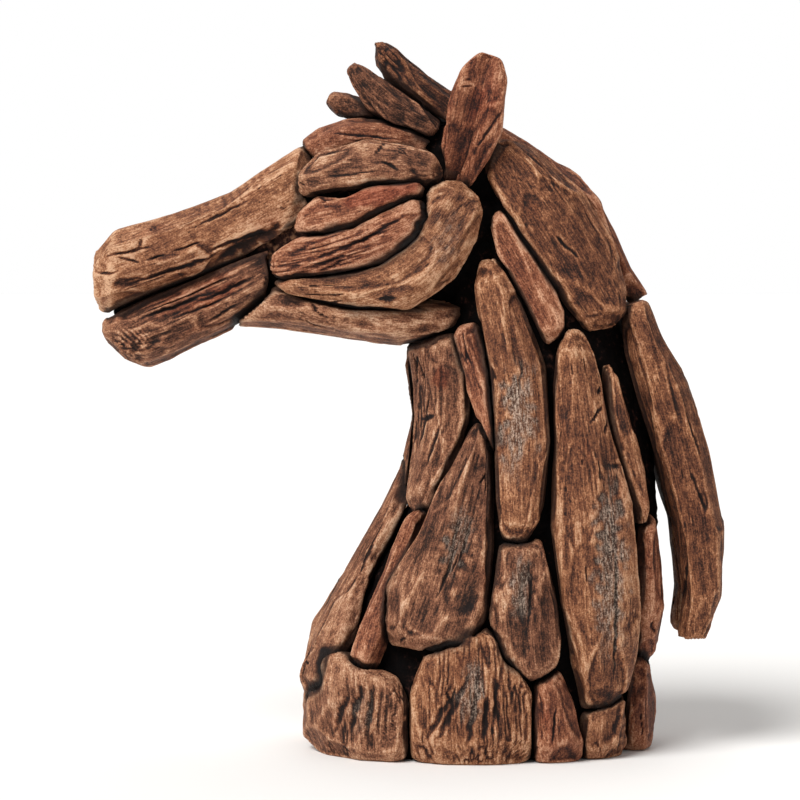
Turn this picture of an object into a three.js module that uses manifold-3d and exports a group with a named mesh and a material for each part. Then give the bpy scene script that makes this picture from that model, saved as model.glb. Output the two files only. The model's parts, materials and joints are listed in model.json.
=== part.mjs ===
// A horse's head and neck, built up from weathered lengths of wood fixed round a dark inner body.
// Millimetres, +Z up. The horse looks along -X, so its left side faces -Y. The origin is the middle
// of the bounding box at floor level.
//
// The outer form is an oval skin swept through ribs, one skin for the neck and one for the head. A
// stave is drawn on a skin as a centre line with a width at each station, and has a crowned, facetted
// outer face. A block is a solid length of wood lofted through ribs of its own. A piece that comes
// later in the build is cut back from every piece that came before it.
import * as THREE from "three";
import { mergeVertices } from "three/addons/utils/BufferGeometryUtils.js";
import Module from "manifold-3d";

const wasm = await Module();
wasm.setup();

// Driving sizes
const GAP = 0.5; // clearance left where two pieces touch
const TIDY = 0.25; // faces that differ by less than this are drawn as one
const CORE_INSET = 17; // how far the inner body lies below the skin
const STAVE_DEPTH = 18; // thickness of an ordinary stave, from its crown to its lower edge
const SEAT = 1.45; // how far down a stave reaches before the core trims it, in depths
const CORE_SIDES = 16; // facets round the inner body
const RIGHT_SHIFT = 3; // how far the right side's staves wander from a mirror image of the left
const RIGHT_WIDTH = 0.08; // and by what share their widths differ
const WALK_STEPS = 8; // how many straight steps make up a path over the skin
const FLOOR = -4; // height at which every piece is cut off flat, on the same scale as the ribs
const FAR = 900; // half the side of the block that does the cutting

const DEGREES = Math.PI / 180;
const SIDE = { left: -1, right: 1 };

const WOODS = {
  teak: { color: "#8f6242", roughness: 0.72 },
  teak_pale: { color: "#a67c58", roughness: 0.76 },
  teak_red: { color: "#7d4a33", roughness: 0.68 },
  core: { color: "#2a1a12", roughness: 0.85 },
};

// Numbers from 0 to 1 that repeat from run to run, one stream for each piece's name.
function streamFor(name) {
  let state = [...name].reduce((sum, letter) => (sum * 31 + letter.charCodeAt(0)) >>> 0, 7);
  return () => {
    state = (state + 0x6d2b79f5) >>> 0;
    let t = state;
    t = Math.imul(t ^ (t >>> 15), t | 1);
    t ^= t + Math.imul(t ^ (t >>> 7), t | 61);
    return ((t ^ (t >>> 14)) >>> 0) / 4294967296;
  };
}

// Rows of numbers read along their length: a Catmull-Rom curve inside, a straight line past the ends.
function along(rows, v) {
  const last = rows.length - 1;
  const mix = (a, b, t) => a.map((value, k) => value + (b[k] - value) * t);
  if (v <= 0) return mix(rows[0], rows[1], v);
  if (v >= last) return mix(rows[last - 1], rows[last], v - last + 1);
  const i = Math.floor(v);
  const t = v - i;
  const [p1, p2] = [rows[i], rows[i + 1]];
  const p0 = i > 0 ? rows[i - 1] : mix(p1, p2, -1);
  const p3 = i + 2 <= last ? rows[i + 2] : mix(p1, p2, 2);
  return p1.map((value, k) => {
    const slope = p2[k] - p0[k];
    const bend = 2 * p0[k] - 5 * value + 4 * p2[k] - p3[k];
    const twist = -p0[k] + 3 * value - 3 * p2[k] + p3[k];
    return 0.5 * (2 * value + slope * t + bend * t * t + twist * t * t * t);
  });
}

// A rib is [front x, front z, back x, back z, half depth]. Angle -90 is its front, 90 its back, and 0
// the middle of the side that faces the given way along Y.
class Skin {
  constructor(ribs, squareness) {
    this.ribs = ribs;
    this.squareness = squareness;
  }

  point(v, angle, side) {
    const [fx, fz, bx, bz, depth] = along(this.ribs, v);
    const across = Math.sin(angle * DEGREES);
    const out = Math.cos(angle * DEGREES);
    const u = Math.sign(across) * Math.abs(across) ** this.squareness;
    const w = Math.sign(out) * Math.abs(out) ** this.squareness;
    return new THREE.Vector3(
      (fx + bx) / 2 + ((bx - fx) / 2) * u,
      side * depth * w,
      (fz + bz) / 2 + ((bz - fz) / 2) * u,
    );
  }

  // The place on the skin that shows at x, z from the side: which rib passes there, and how far round.
  seen(x, z) {
    const offLine = (v) => {
      const [fx, fz, bx, bz] = along(this.ribs, v);
      return (x - fx) * (bz - fz) - (z - fz) * (bx - fx);
    };
    const share = (v) => {
      const [fx, fz, bx, bz] = along(this.ribs, v);
      const length2 = (bx - fx) ** 2 + (bz - fz) ** 2;
      return (2 * ((x - fx) * (bx - fx) + (z - fz) * (bz - fz))) / length2 - 1;
    };
    const [first, last, step, halvings] = [-1.2, this.ribs.length + 0.2, 0.05, 24];
    const found = [];
    for (let v = first; v < last; v += step) {
      if (offLine(v) <= 0 === offLine(v + step) <= 0) continue;
      let [low, high] = [v, v + step];
      for (let n = 0; n < halvings; n++) {
        const middle = (low + high) / 2;
        if (offLine(low) <= 0 === offLine(middle) <= 0) low = middle;
        else high = middle;
      }
      found.push({ v: low, share: share(low) });
    }
    found.sort((a, b) => Math.abs(a.share) - Math.abs(b.share));
    if (!found.length) throw new Error(`no rib passes ${x}, ${z}`);
    const s = Math.max(-1, Math.min(1, found[0].share));
    return { v: found[0].v, angle: Math.asin(Math.sign(s) * Math.abs(s) ** (1 / this.squareness)) / DEGREES };
  }

  // Position, outward normal, and the two directions that run over the skin with their lengths per unit.
  frame(v, angle, side) {
    const [dv, da] = [0.02, 0.5];
    const p = this.point(v, angle, side);
    const alongV = this.point(v + dv, angle, side).sub(this.point(v - dv, angle, side));
    const alongA = this.point(v, angle + da, side).sub(this.point(v, angle - da, side));
    const perV = alongV.length() / (2 * dv);
    const perA = alongA.length() / (2 * da);
    alongV.normalize();
    alongA.normalize();
    const normal = new THREE.Vector3().crossVectors(alongV, alongA).normalize();
    const [fx, fz, bx, bz] = along(this.ribs, v);
    const outward = p.clone().sub(new THREE.Vector3((fx + bx) / 2, 0, (fz + bz) / 2));
    if (normal.dot(outward) < 0) normal.negate();
    return { p, normal, alongV, alongA, perV, perA };
  }

  // The place reached by going a distance over the skin, setting off square to the direction run and
  // keeping the same slant against the ribs.
  walk(v, angle, side, run, distance) {
    const start = this.frame(v, angle, side);
    const across = new THREE.Vector3().crossVectors(start.normal, run).normalize();
    const lean = start.alongV.dot(start.alongA);
    const [onV, onA] = [across.dot(start.alongV), across.dot(start.alongA)];
    const slantV = (onV - onA * lean) / start.perV;
    const slantA = (onA - onV * lean) / start.perA;
    for (let n = 0; n < WALK_STEPS; n++) {
      const { alongV, alongA, perV, perA } = this.frame(v, angle, side);
      const rate = alongV.multiplyScalar(slantV * perV).addScaledVector(alongA, slantA * perA).length();
      v += (slantV * distance) / WALK_STEPS / rate;
      angle += (slantA * distance) / WALK_STEPS / rate;
    }
    return this.frame(v, angle, side);
  }
}

const NECK = new Skin(
  [
    [-71, -4, 164, -4, 88],
    [-77, 8, 171, 7, 94],
    [-77, 58, 176, 62, 95],
    [-55, 103, 190, 112, 90],
    [-25, 152, 192, 170, 82],
    [-2, 205, 186, 228, 72],
    [-4, 245, 170, 285, 63],
    [-8, 288, 158, 330, 56],
    [20, 345, 128, 385, 46],
    [40, 385, 80, 425, 36],
  ],
  0.9,
);

// The head's ribs run from its upper edge to its lower edge, from the muzzle back to the poll.
const HEAD = new Skin(
  [
    [-205, 362, -190, 262, 34],
    [-165, 370, -150, 275, 37],
    [-120, 387, -118, 288, 39],
    [-85, 412, -84, 285, 50],
    [-50, 432, -50, 281, 59],
    [-15, 432, -20, 276, 64],
    [15, 422, 5, 283, 63],
    [45, 410, 30, 305, 57],
    [75, 385, 50, 340, 46],
  ],
  0.85,
);

function solidFrom(geometry) {
  geometry.deleteAttribute("normal");
  geometry.deleteAttribute("uv");
  const merged = mergeVertices(geometry, 1e-3);
  return new wasm.Manifold(
    new wasm.Mesh({
      numProp: 3,
      vertProperties: merged.attributes.position.array,
      triVerts: new Uint32Array(merged.index.array),
    }),
  );
}

// Closed rings of points joined one to the next, with a fan over each end.
function loft(rings) {
  const count = rings[0].length;
  const middle = (ring) =>
    ring.reduce((sum, p) => sum.add(p), new THREE.Vector3()).multiplyScalar(1 / count);
  const points = [...rings.flat(), middle(rings[0]), middle(rings[rings.length - 1])];
  const [firstCap, lastCap] = [points.length - 2, points.length - 1];
  const lastRing = (rings.length - 1) * count;
  const faces = [];
  for (let j = 0; j < count; j++) {
    const k = (j + 1) % count;
    faces.push(firstCap, k, j, lastCap, lastRing + j, lastRing + k);
    for (let i = 0; i < lastRing; i += count) {
      faces.push(i + j, i + k, i + count + j, i + k, i + count + k, i + count + j);
    }
  }
  const solidOf = (order) => solidFrom(new THREE.BufferGeometry().setFromPoints(points).setIndex(order));
  const solid = solidOf(faces);
  if (solid.volume() > 0) return solid;
  const turned = [0, 2, 1]; // each triangle's corners the other way round
  return solidOf(faces.map((_, n) => faces[n - (n % 3) + turned[n % 3]]));
}

// A stave's section as [place across, drop below the crown]: places run from -1 to 1 across its width,
// drops are in stave depths.
const SECTION = [
  [-1, 0.85],
  [-0.88, 0.24],
  [-0.45, 0.05],
  [0, 0],
  [0.45, 0.05],
  [0.88, 0.24],
  [1, 0.85],
  [0.75, SEAT],
  [-0.75, SEAT],
];
const UPPER_DROP = 0.5; // section points that lie less deep than this belong to the hewn outer face
const PROBE = 0.02; // how far ahead and behind, in stations, the direction of a stave is taken
const END_SHARE = 0.08; // the share of a stave's length that its end chamfer takes up
const END_DROP = 0.4; // how far the crown falls at a stave's ends, in depths
const HEWN = 0.06; // how unevenly the facets are hewn, as a share of half the width or of the depth
const BENT_HEWN = 0.18; // the same share on a length of wood with a bent line

// stations: [x, z, width] along the centre line, where it shows from the side. crown: where the ridge
// runs, from one end to the other, as a place across. sink: how far the crown lies below the skin.
function stave(name, skin, side, stations, { depth = STAVE_DEPTH, crown = [0, 0], sink = 0 } = {}) {
  const random = streamFor(name);
  const wander = side === SIDE.right ? 1 : 0;
  const either = (size) => (random() - 0.5) * 2 * size;
  const rows = stations.map(([x, z, width], n) => {
    const atEnd = n === 0 || n === stations.length - 1;
    const place = skin.seen(
      x + either(RIGHT_SHIFT) * wander,
      z + (atEnd ? 0 : either(RIGHT_SHIFT) * wander),
    );
    return [place.v, place.angle, (width / 2) * (1 + either(RIGHT_WIDTH) * wander)];
  });
  const last = rows.length - 1;
  const steps = [0, END_SHARE * last];
  for (let n = 1; n < last; n++) steps.push(n);
  steps.push(last - END_SHARE * last, last);
  const rings = steps.map((s, n) => {
    const [v, angle, half] = along(rows, s);
    const [ahead, behind] = [along(rows, s + PROBE), along(rows, s - PROBE)];
    const run = skin.point(ahead[0], ahead[1], side).sub(skin.point(behind[0], behind[1], side)).normalize();
    const endDrop = n === 0 || n === steps.length - 1 ? END_DROP : 0;
    const ridge = crown[0] + ((crown[1] - crown[0]) * s) / last;
    return SECTION.map(([place, drop]) => {
      const upper = drop < UPPER_DROP;
      const w = (place + (upper ? ridge * (1 - Math.abs(place)) + either(HEWN) : 0)) * half;
      const fall = drop + (upper ? endDrop + random() * HEWN : 0);
      const { p, normal } = skin.walk(v, angle, side, run, w);
      return p.addScaledVector(normal, -sink - fall * depth);
    });
  });
  return loft(rings);
}

// A block's section, as [share from the rib's middle to its start or end, share of the half depth].
const BAR = [
  [-0.95, 0.5],
  [-0.55, 0.95],
  [0.1, 1],
  [0.6, 0.9],
  [0.9, 0.5],
  [1, 0],
  [0.9, -0.5],
  [0.6, -0.9],
  [0.1, -1],
  [-0.55, -0.95],
  [-0.95, -0.5],
  [-1, 0],
];

// ribs: [x, z at one edge, x, z at the other edge, half depth], centred on y. The end ribs are drawn
// smaller than their neighbours, which chamfers the ends.
function block(name, ribs, { y = 0, section = BAR } = {}) {
  const random = streamFor(name);
  const rings = ribs.map(([startX, startZ, endX, endZ, depth]) =>
    section.map(([u, w]) => {
      const share = (1 + u * (1 + (random() - 0.5) * HEWN)) / 2;
      return new THREE.Vector3(
        startX + (endX - startX) * share,
        y + w * depth * (1 + (random() - 0.5) * HEWN),
        startZ + (endZ - startZ) * share,
      );
    }),
  );
  return loft(rings);
}

// stations: [x, y, z, width in the side view, depth along y], for a length of wood with a bent line.
function billet(name, stations, { section = BAR } = {}) {
  const random = streamFor(name);
  const last = stations.length - 1;
  const at = (n) => new THREE.Vector3(...stations[THREE.MathUtils.clamp(n, 0, last)].slice(0, 3));
  const rings = stations.map(([, , , width, depth], n) => {
    const run = at(n + 1).sub(at(n - 1)).normalize();
    const across = new THREE.Vector3(run.z, 0, -run.x).normalize();
    const out = new THREE.Vector3().crossVectors(run, across).normalize();
    if (out.y < 0) out.negate();
    return section.map(([u, w]) =>
      at(n)
        .addScaledVector(across, u * (width / 2) * (1 + (random() - 0.5) * BENT_HEWN))
        .addScaledVector(out, w * (depth / 2) * (1 + (random() - 0.5) * BENT_HEWN)),
    );
  });
  return loft(rings);
}

// The inner body's parts: both skins drawn in, a block that joins them at the poll and reaches forward
// under the brow, and a thin tongue between nose and chin. The head's part starts behind the nose.
const CORE_HEAD_START = 2.2; // in ribs of the head's skin
function core() {
  const body = (skin, from, to, steps) => {
    const ribs = skin.ribs.map(([fx, fz, bx, bz, depth]) => {
      const length = Math.hypot(bx - fx, bz - fz);
      const [ux, uz] = [((bx - fx) / length) * CORE_INSET, ((bz - fz) / length) * CORE_INSET];
      return [fx + ux, fz + uz, bx - ux, bz - uz, depth - CORE_INSET];
    });
    const inner = new Skin(ribs, skin.squareness);
    const ring = (v) =>
      Array.from({ length: CORE_SIDES }, (_, k) => inner.point(v, (k * 360) / CORE_SIDES, SIDE.left));
    return loft(Array.from({ length: steps + 1 }, (_, n) => ring(from + ((to - from) * n) / steps)));
  };
  const poll = block("poll", [
    [-72, 402, -72, 380, 12],
    [-50, 412, -50, 374, 18],
    [-24, 416, -24, 370, 22],
    [0, 427, -5, 360, 26],
    [24, 431, 20, 355, 27],
    [45, 425, 40, 355, 26],
    [68, 410, 62, 350, 24],
    [84, 392, 86, 345, 18],
  ]);
  const tongue = block("tongue", [
    [-208, 302, -204, 293, 8],
    [-190, 310, -187, 300, 11],
    [-150, 327, -148, 316, 12],
    [-108, 348, -106, 330, 13],
    [-80, 362, -80, 336, 16],
  ]);
  const neck = body(NECK, -0.4, NECK.ribs.length - 1, 9);
  const head = body(HEAD, CORE_HEAD_START, HEAD.ribs.length - 1, 7);
  return [neck, head, poll, tongue];
}

// A solid with every face moved out by a clearance. At a sharp corner the point moves out further, so
// that the faces beside it keep their distance, up to the clearance divided by SHARPEST.
const SHARPEST = 0.3;
function grown(solid, clearance) {
  const { vertProperties, triVerts } = solid.getMesh();
  const geometry = new THREE.BufferGeometry();
  geometry.setAttribute("position", new THREE.BufferAttribute(vertProperties, 3));
  geometry.setIndex(new THREE.BufferAttribute(triVerts, 1));
  const corner = (k) => new THREE.Vector3().fromArray(vertProperties, 3 * triVerts[k]);
  const normals = Array.from({ length: vertProperties.length / 3 }, () => []);
  for (let k = 0; k < triVerts.length; k += 3) {
    const [a, b, c] = [corner(k), corner(k + 1), corner(k + 2)];
    const normal = b.sub(a).cross(c.sub(a)).normalize();
    for (let m = k; m < k + 3; m++) normals[triVerts[m]].push(normal);
  }
  normals.forEach((around, n) => {
    const mean = around.reduce((sum, normal) => sum.add(normal), new THREE.Vector3()).normalize();
    const least = Math.max(SHARPEST, Math.min(...around.map((normal) => normal.dot(mean))));
    const p = new THREE.Vector3().fromArray(vertProperties, 3 * n).addScaledVector(mean, clearance / least);
    p.toArray(vertProperties, 3 * n);
  });
  return solidFrom(geometry).add(solid);
}

const pieces = [];
const add = (name, wood, ...parts) => pieces.push({ name, wood, parts });
add("core", "core", ...core());

// A stave on each side, the right one wandering a little from the mirror of the left.
function pair(name, wood, skin, stations, options) {
  for (const side of Object.keys(SIDE)) {
    const full = `${name}_${side}`;
    add(full, wood, stave(full, skin, SIDE[side], stations, options));
  }
}

// Head
const EAR_SECTION = [
  [-1, 0.1],
  [-0.8, 0.55],
  [-0.3, 0.1],
  [0.1, 0.05],
  [0.4, 0.5],
  [0.85, 0.5],
  [1, 0],
  [0.7, -0.7],
  [-0.7, -0.7],
];
for (const side of Object.keys(SIDE)) {
  const out = SIDE[side];
  const stations = [
    [26, out * 31, 380, 15, 14],
    [34, out * 37, 396, 23, 17],
    [38, out * 42, 409, 33, 21],
    [42, out * 46, 427, 40, 24],
    [46, out * 49, 446, 39, 22],
    [50, out * 50, 462, 31, 16],
    [54, out * 51, 474, 15, 9],
  ];
  const section = EAR_SECTION.map(([u, w]) => [u, out * w]);
  add(`ear_${side}`, "teak_red", billet(`ear_${side}`, stations, { section }));
}
pair("brow", "teak_pale", HEAD, [
  [-77, 384, 10],
  [-58, 400, 33],
  [-31, 404, 37],
  [-4, 403, 33],
  [23, 400, 16],
], { depth: 22, crown: [0.1, 0.3], sink: -5 });
pair("eye", "teak_red", HEAD, [
  [-80, 357, 9],
  [-61, 368, 31],
  [-42, 368, 23],
  [-22, 379, 24],
  [-5, 386, 21],
  [11, 387, 11],
], { depth: 17, crown: [0, 0.2] });
pair("cheekbone", "teak_red", HEAD, [
  [-99, 328, 19],
  [-78, 334, 31],
  [-52, 342, 37],
  [-26, 350, 43],
  [-4, 363, 36],
  [11, 377, 16],
], { depth: 18, crown: [0.1, 0.2] });
pair("cheek", "teak", HEAD, [
  [-97, 321, 9],
  [-72, 316, 19],
  [-38, 312, 34],
  [-7, 316, 50],
  [14, 328, 57],
  [27, 349, 54],
  [31, 372, 47],
  [30, 394, 32],
], { depth: 20, crown: [0, -0.1], sink: -2 });
add("nose", "teak", block("nose", [
  [-220, 343, -217, 301, 23],
  [-206, 359, -208, 298, 33],
  [-165, 370, -178, 310, 38],
  [-126, 385, -143, 323, 37],
  [-95, 406, -110, 333, 41],
  [-76, 417, -88, 341, 43],
  [-60, 400, -74, 348, 38],
]));
add("chin", "teak_pale", block("chin", [
  [-214, 293, -211, 279, 19],
  [-203, 301, -198, 267, 28],
  [-182, 314, -182, 260, 33],
  [-150, 328, -157, 271, 34],
  [-119, 343, -122, 289, 36],
  [-95, 352, -99, 305, 37],
]));
add("jaw", "teak_pale", block("jaw", [
  [-120, 302, -122, 289, 26],
  [-98, 323, -95, 287, 37],
  [-70, 323, -64, 283, 46],
  [-35, 314, -29, 279, 51],
  [-7, 309, -7, 276, 49],
  [14, 310, 14, 280, 45],
  [30, 309, 30, 286, 40],
  [40, 306, 38, 293, 30],
]));
add("forehead", "teak_red", block("forehead", [
  [-79, 415, -70, 390, 20],
  [-63, 427, -54, 396, 31],
  [-45, 433, -42, 403, 36],
  [-22, 434, -24, 405, 36],
  [0, 429, -2, 402, 33],
  [22, 421, 18, 398, 25],
]));
add("forelock_middle", "teak_pale", billet("forelock_middle", [
  [-40, -14, 470, 9, 10],
  [-34, -14, 463, 16, 20],
  [-24, -14, 452, 22, 28],
  [-10, -13, 439, 27, 32],
  [14, -12, 420, 28, 30],
]));
add("forelock_top", "teak", billet("forelock_top", [
  [-21, 4, 488, 8, 12],
  [-17, 4, 480, 20, 26],
  [-9, 5, 469, 25, 34],
  [4, 6, 457, 26, 40],
  [18, 6, 446, 27, 44],
  [38, 6, 431, 28, 44],
]));
add("forelock_low", "teak_pale", billet("forelock_low", [
  [-56, 9, 449, 8, 12],
  [-48, 9, 445, 16, 26],
  [-32, 9, 438, 20, 38],
  [0, 9, 424, 22, 40],
]));

// Neck and mane
pair("mane_crest", "teak", NECK, [
  [55, 418, 28],
  [78, 396, 54],
  [102, 369, 69],
  [121, 337, 63],
  [132, 312, 50],
  [136, 292, 28],
], { depth: 24, crown: [0.2, 0.2], sink: -6 });
pair("neck_long", "teak", NECK, [
  [50, 337, 19],
  [61, 302, 35],
  [72, 262, 43],
  [75, 215, 42],
  [73, 175, 36],
  [70, 147, 19],
], { depth: 24, crown: [-0.1, 0.1], sink: -5 });
pair("neck_narrow", "teak_red", NECK, [
  [57, 370, 12],
  [69, 346, 23],
  [87, 318, 28],
  [101, 284, 19],
]);
pair("shoulder_long", "teak", NECK, [
  [113, 289, 17],
  [115, 255, 35],
  [119, 215, 45],
  [127, 161, 64],
  [134, 107, 62],
  [137, 63, 50],
  [136, 31, 30],
], { depth: 23, crown: [-0.2, 0.1], sink: -5 });
pair("chest_broad", "teak_pale", NECK, [
  [43, 226, 10],
  [36, 187, 39],
  [27, 147, 59],
  [15, 108, 80],
  [6, 75, 64],
], { depth: 24, crown: [-0.2, -0.3], sink: -5 });
pair("throat", "teak_pale", NECK, [
  [3, 286, 58],
  [7, 254, 73],
  [8, 226, 75],
  [3, 196, 60],
  [-2, 168, 24],
], { depth: 20, crown: [0.1, 0.1] });
pair("neck_short", "teak_red", NECK, [
  [36, 293, 19],
  [42, 265, 25],
  [50, 234, 16],
  [55, 207, 6],
]);
pair("shoulder_small", "teak_pale", NECK, [
  [74, 149, 30],
  [75, 128, 42],
  [77, 102, 53],
  [84, 75, 46],
  [92, 55, 20],
], { depth: 20, crown: [-0.2, -0.2], sink: -1 });
pair("shoulder_thin", "teak", NECK, [
  [140, 266, 8],
  [146, 230, 21],
  [157, 193, 20],
  [165, 157, 7],
]);
pair("shoulder_end", "teak_red", NECK, [
  [170, 162, 10],
  [172, 131, 22],
  [174, 96, 27],
  [175, 55, 25],
], { sink: 2 });
pair("chest_edge", "teak_pale", NECK, [
  [-6, 205, 12],
  [-24, 163, 40],
  [-45, 122, 56],
  [-63, 81, 60],
  [-73, 30, 44],
], { sink: -3 });
pair("chest_slim", "teak_red", NECK, [
  [1, 169, 6],
  [-10, 142, 16],
  [-22, 112, 23],
  [-32, 82, 25],
  [-38, 59, 18],
]);
add("breast", "teak", stave("breast", NECK, SIDE.left, [
  [-12, 274, 30],
  [-11, 225, 34],
  [-30, 170, 38],
  [-60, 112, 46],
  [-82, 60, 48],
], { sink: 2 }));
pair("base_middle", "teak", NECK, [
  [44, 92, 30],
  [40, 71, 68],
  [39, 44, 91],
  [39, 12, 94],
  [39, -12, 94],
], { depth: 22, crown: [0, 0.1], sink: -1 });
pair("base_front", "teak_pale", NECK, [
  [-46, 68, 84],
  [-53, 45, 118],
  [-56, 12, 123],
  [-56, -12, 122],
], { depth: 20, sink: -2 });
pair("base_back", "teak", NECK, [
  [144, 44, 26],
  [140, 22, 42],
  [139, 8, 46],
  [139, -12, 46],
]);
pair("base_small", "teak_red", NECK, [
  [95, 57, 18],
  [100, 33, 33],
  [103, 10, 38],
  [103, -12, 38],
]);
for (const side of Object.keys(SIDE)) {
  const ribs = [
    [164, 309, 145, 302, 13],
    [175, 283, 147, 272, 19],
    [193, 253, 156, 239, 22],
    [208, 203, 170, 196, 23],
    [217, 154, 181, 154, 23],
    [217, 104, 187, 105, 21],
    [205, 74, 183, 74, 13],
  ];
  add(`mane_back_${side}`, "teak", block(`mane_back_${side}`, ribs, { y: SIDE[side] * 24.5 }));
}
add("mane_ridge", "teak_red", block("mane_ridge", [
  [63, 431, 55, 418, 10],
  [85, 417, 74, 398, 17],
  [105, 403, 90, 384, 19],
  [119, 393, 103, 374, 19],
  [132, 380, 114, 362, 19],
  [145, 355, 126, 342, 19],
  [156, 331, 138, 321, 17],
  [168, 313, 154, 305, 11],
]));
add("heel", "teak_red", block("heel", [
  [166, -12, 142, -12, 34],
  [172, 8, 142, 8, 36],
  [171, 45, 142, 45, 34],
  [166, 66, 146, 66, 24],
]));

// Cut each piece back from the ones before it, trim everything at the floor, and keep its main part.
const floor = solidFrom(new THREE.BoxGeometry(2 * FAR, 2 * FAR, FAR).translate(0, 0, FLOOR - FAR / 2));
const overlaps = (a, b) =>
  [0, 1, 2].every((axis) => a.min[axis] < b.max[axis] && b.min[axis] < a.max[axis]);
const cutters = [];
const horse = new THREE.Group();
for (const { name, wood, parts } of pieces) {
  let shape = wasm.Manifold.union(parts).subtract(floor);
  const box = shape.boundingBox();
  for (const cutter of cutters) {
    if (overlaps(box, cutter.boundingBox())) shape = shape.subtract(cutter);
  }
  shape = shape.decompose().sort((a, b) => b.volume() - a.volume())[0];
  shape = shape.asOriginal().simplify(TIDY);
  cutters.push(wasm.Manifold.union(parts.map((part) => grown(part, GAP))));
  const { vertProperties, triVerts } = shape.getMesh();
  const geometry = new THREE.BufferGeometry();
  geometry.setAttribute("position", new THREE.BufferAttribute(vertProperties, 3));
  geometry.setIndex(new THREE.BufferAttribute(triVerts, 1));
  geometry.computeVertexNormals();
  const { color, roughness } = WOODS[wood];
  const mesh = new THREE.Mesh(
    geometry,
    new THREE.MeshStandardMaterial({ color, roughness, metalness: 0, flatShading: true }),
  );
  mesh.name = name;
  horse.add(mesh);
}

// The origin goes to the middle of the bounding box at floor level.
const bounds = new THREE.Box3().setFromObject(horse);
const centre = bounds.getCenter(new THREE.Vector3());
horse.position.set(-centre.x, -centre.y, -bounds.min.z);

export default horse;
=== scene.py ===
# A free-standing horse's head and neck, built up from lengths of weathered teak on a dark inner body.
# Every length is worked out of its own solid. A line is found down its middle, and rays from that line
# find the solid's surface on a fine grid of places along it and angles round it. The surface is then
# shaved with flat chisel cuts, and furrowed, cracked and pitted along the grain.
import itertools
import json
import math
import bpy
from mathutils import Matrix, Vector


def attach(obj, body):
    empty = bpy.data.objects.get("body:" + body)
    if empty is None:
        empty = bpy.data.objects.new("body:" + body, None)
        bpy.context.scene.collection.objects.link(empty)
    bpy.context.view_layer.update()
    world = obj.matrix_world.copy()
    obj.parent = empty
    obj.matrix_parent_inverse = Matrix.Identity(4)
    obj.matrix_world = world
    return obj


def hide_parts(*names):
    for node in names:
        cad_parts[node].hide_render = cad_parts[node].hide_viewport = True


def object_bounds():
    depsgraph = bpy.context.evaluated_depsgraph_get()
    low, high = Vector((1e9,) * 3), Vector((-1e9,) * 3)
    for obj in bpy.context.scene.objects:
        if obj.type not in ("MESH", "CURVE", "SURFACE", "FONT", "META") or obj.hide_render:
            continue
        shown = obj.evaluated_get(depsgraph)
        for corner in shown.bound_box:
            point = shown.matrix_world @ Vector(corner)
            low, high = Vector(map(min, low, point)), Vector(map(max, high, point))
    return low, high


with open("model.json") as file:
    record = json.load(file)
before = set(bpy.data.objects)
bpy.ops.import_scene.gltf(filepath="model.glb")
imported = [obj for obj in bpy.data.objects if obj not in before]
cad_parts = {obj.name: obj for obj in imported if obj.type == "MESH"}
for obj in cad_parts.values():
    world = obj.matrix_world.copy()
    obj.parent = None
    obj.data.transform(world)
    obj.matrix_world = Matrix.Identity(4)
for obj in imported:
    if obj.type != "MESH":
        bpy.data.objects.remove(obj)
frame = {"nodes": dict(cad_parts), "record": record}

import zlib

import bpy
import numpy as np
from mathutils import Vector

CAD_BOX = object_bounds()

MM = 0.001  # shapes are worked out in millimetres, and a mesh is in metres
LOWEST, HIGHEST = (np.array(corner) / MM for corner in CAD_BOX)
UP = np.array([0.0, 0.0, 1.0])
AWAY = np.array([0.0, 1.0, 0.0])  # away from the camera, which looks at the left side
SLOTS = {row["node"]: row["material_slot"] for row in frame["record"]["subparts"]}
LEFT_SPACING = (1.5, 0.8)  # grid steps along and round a length that faces the camera or shows on top
RIGHT_SPACING = (2.2, 1.3)  # and on the far side
HIDDEN_SHARE = 0.4  # how much coarser the grid is where a length lies against another piece

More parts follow.
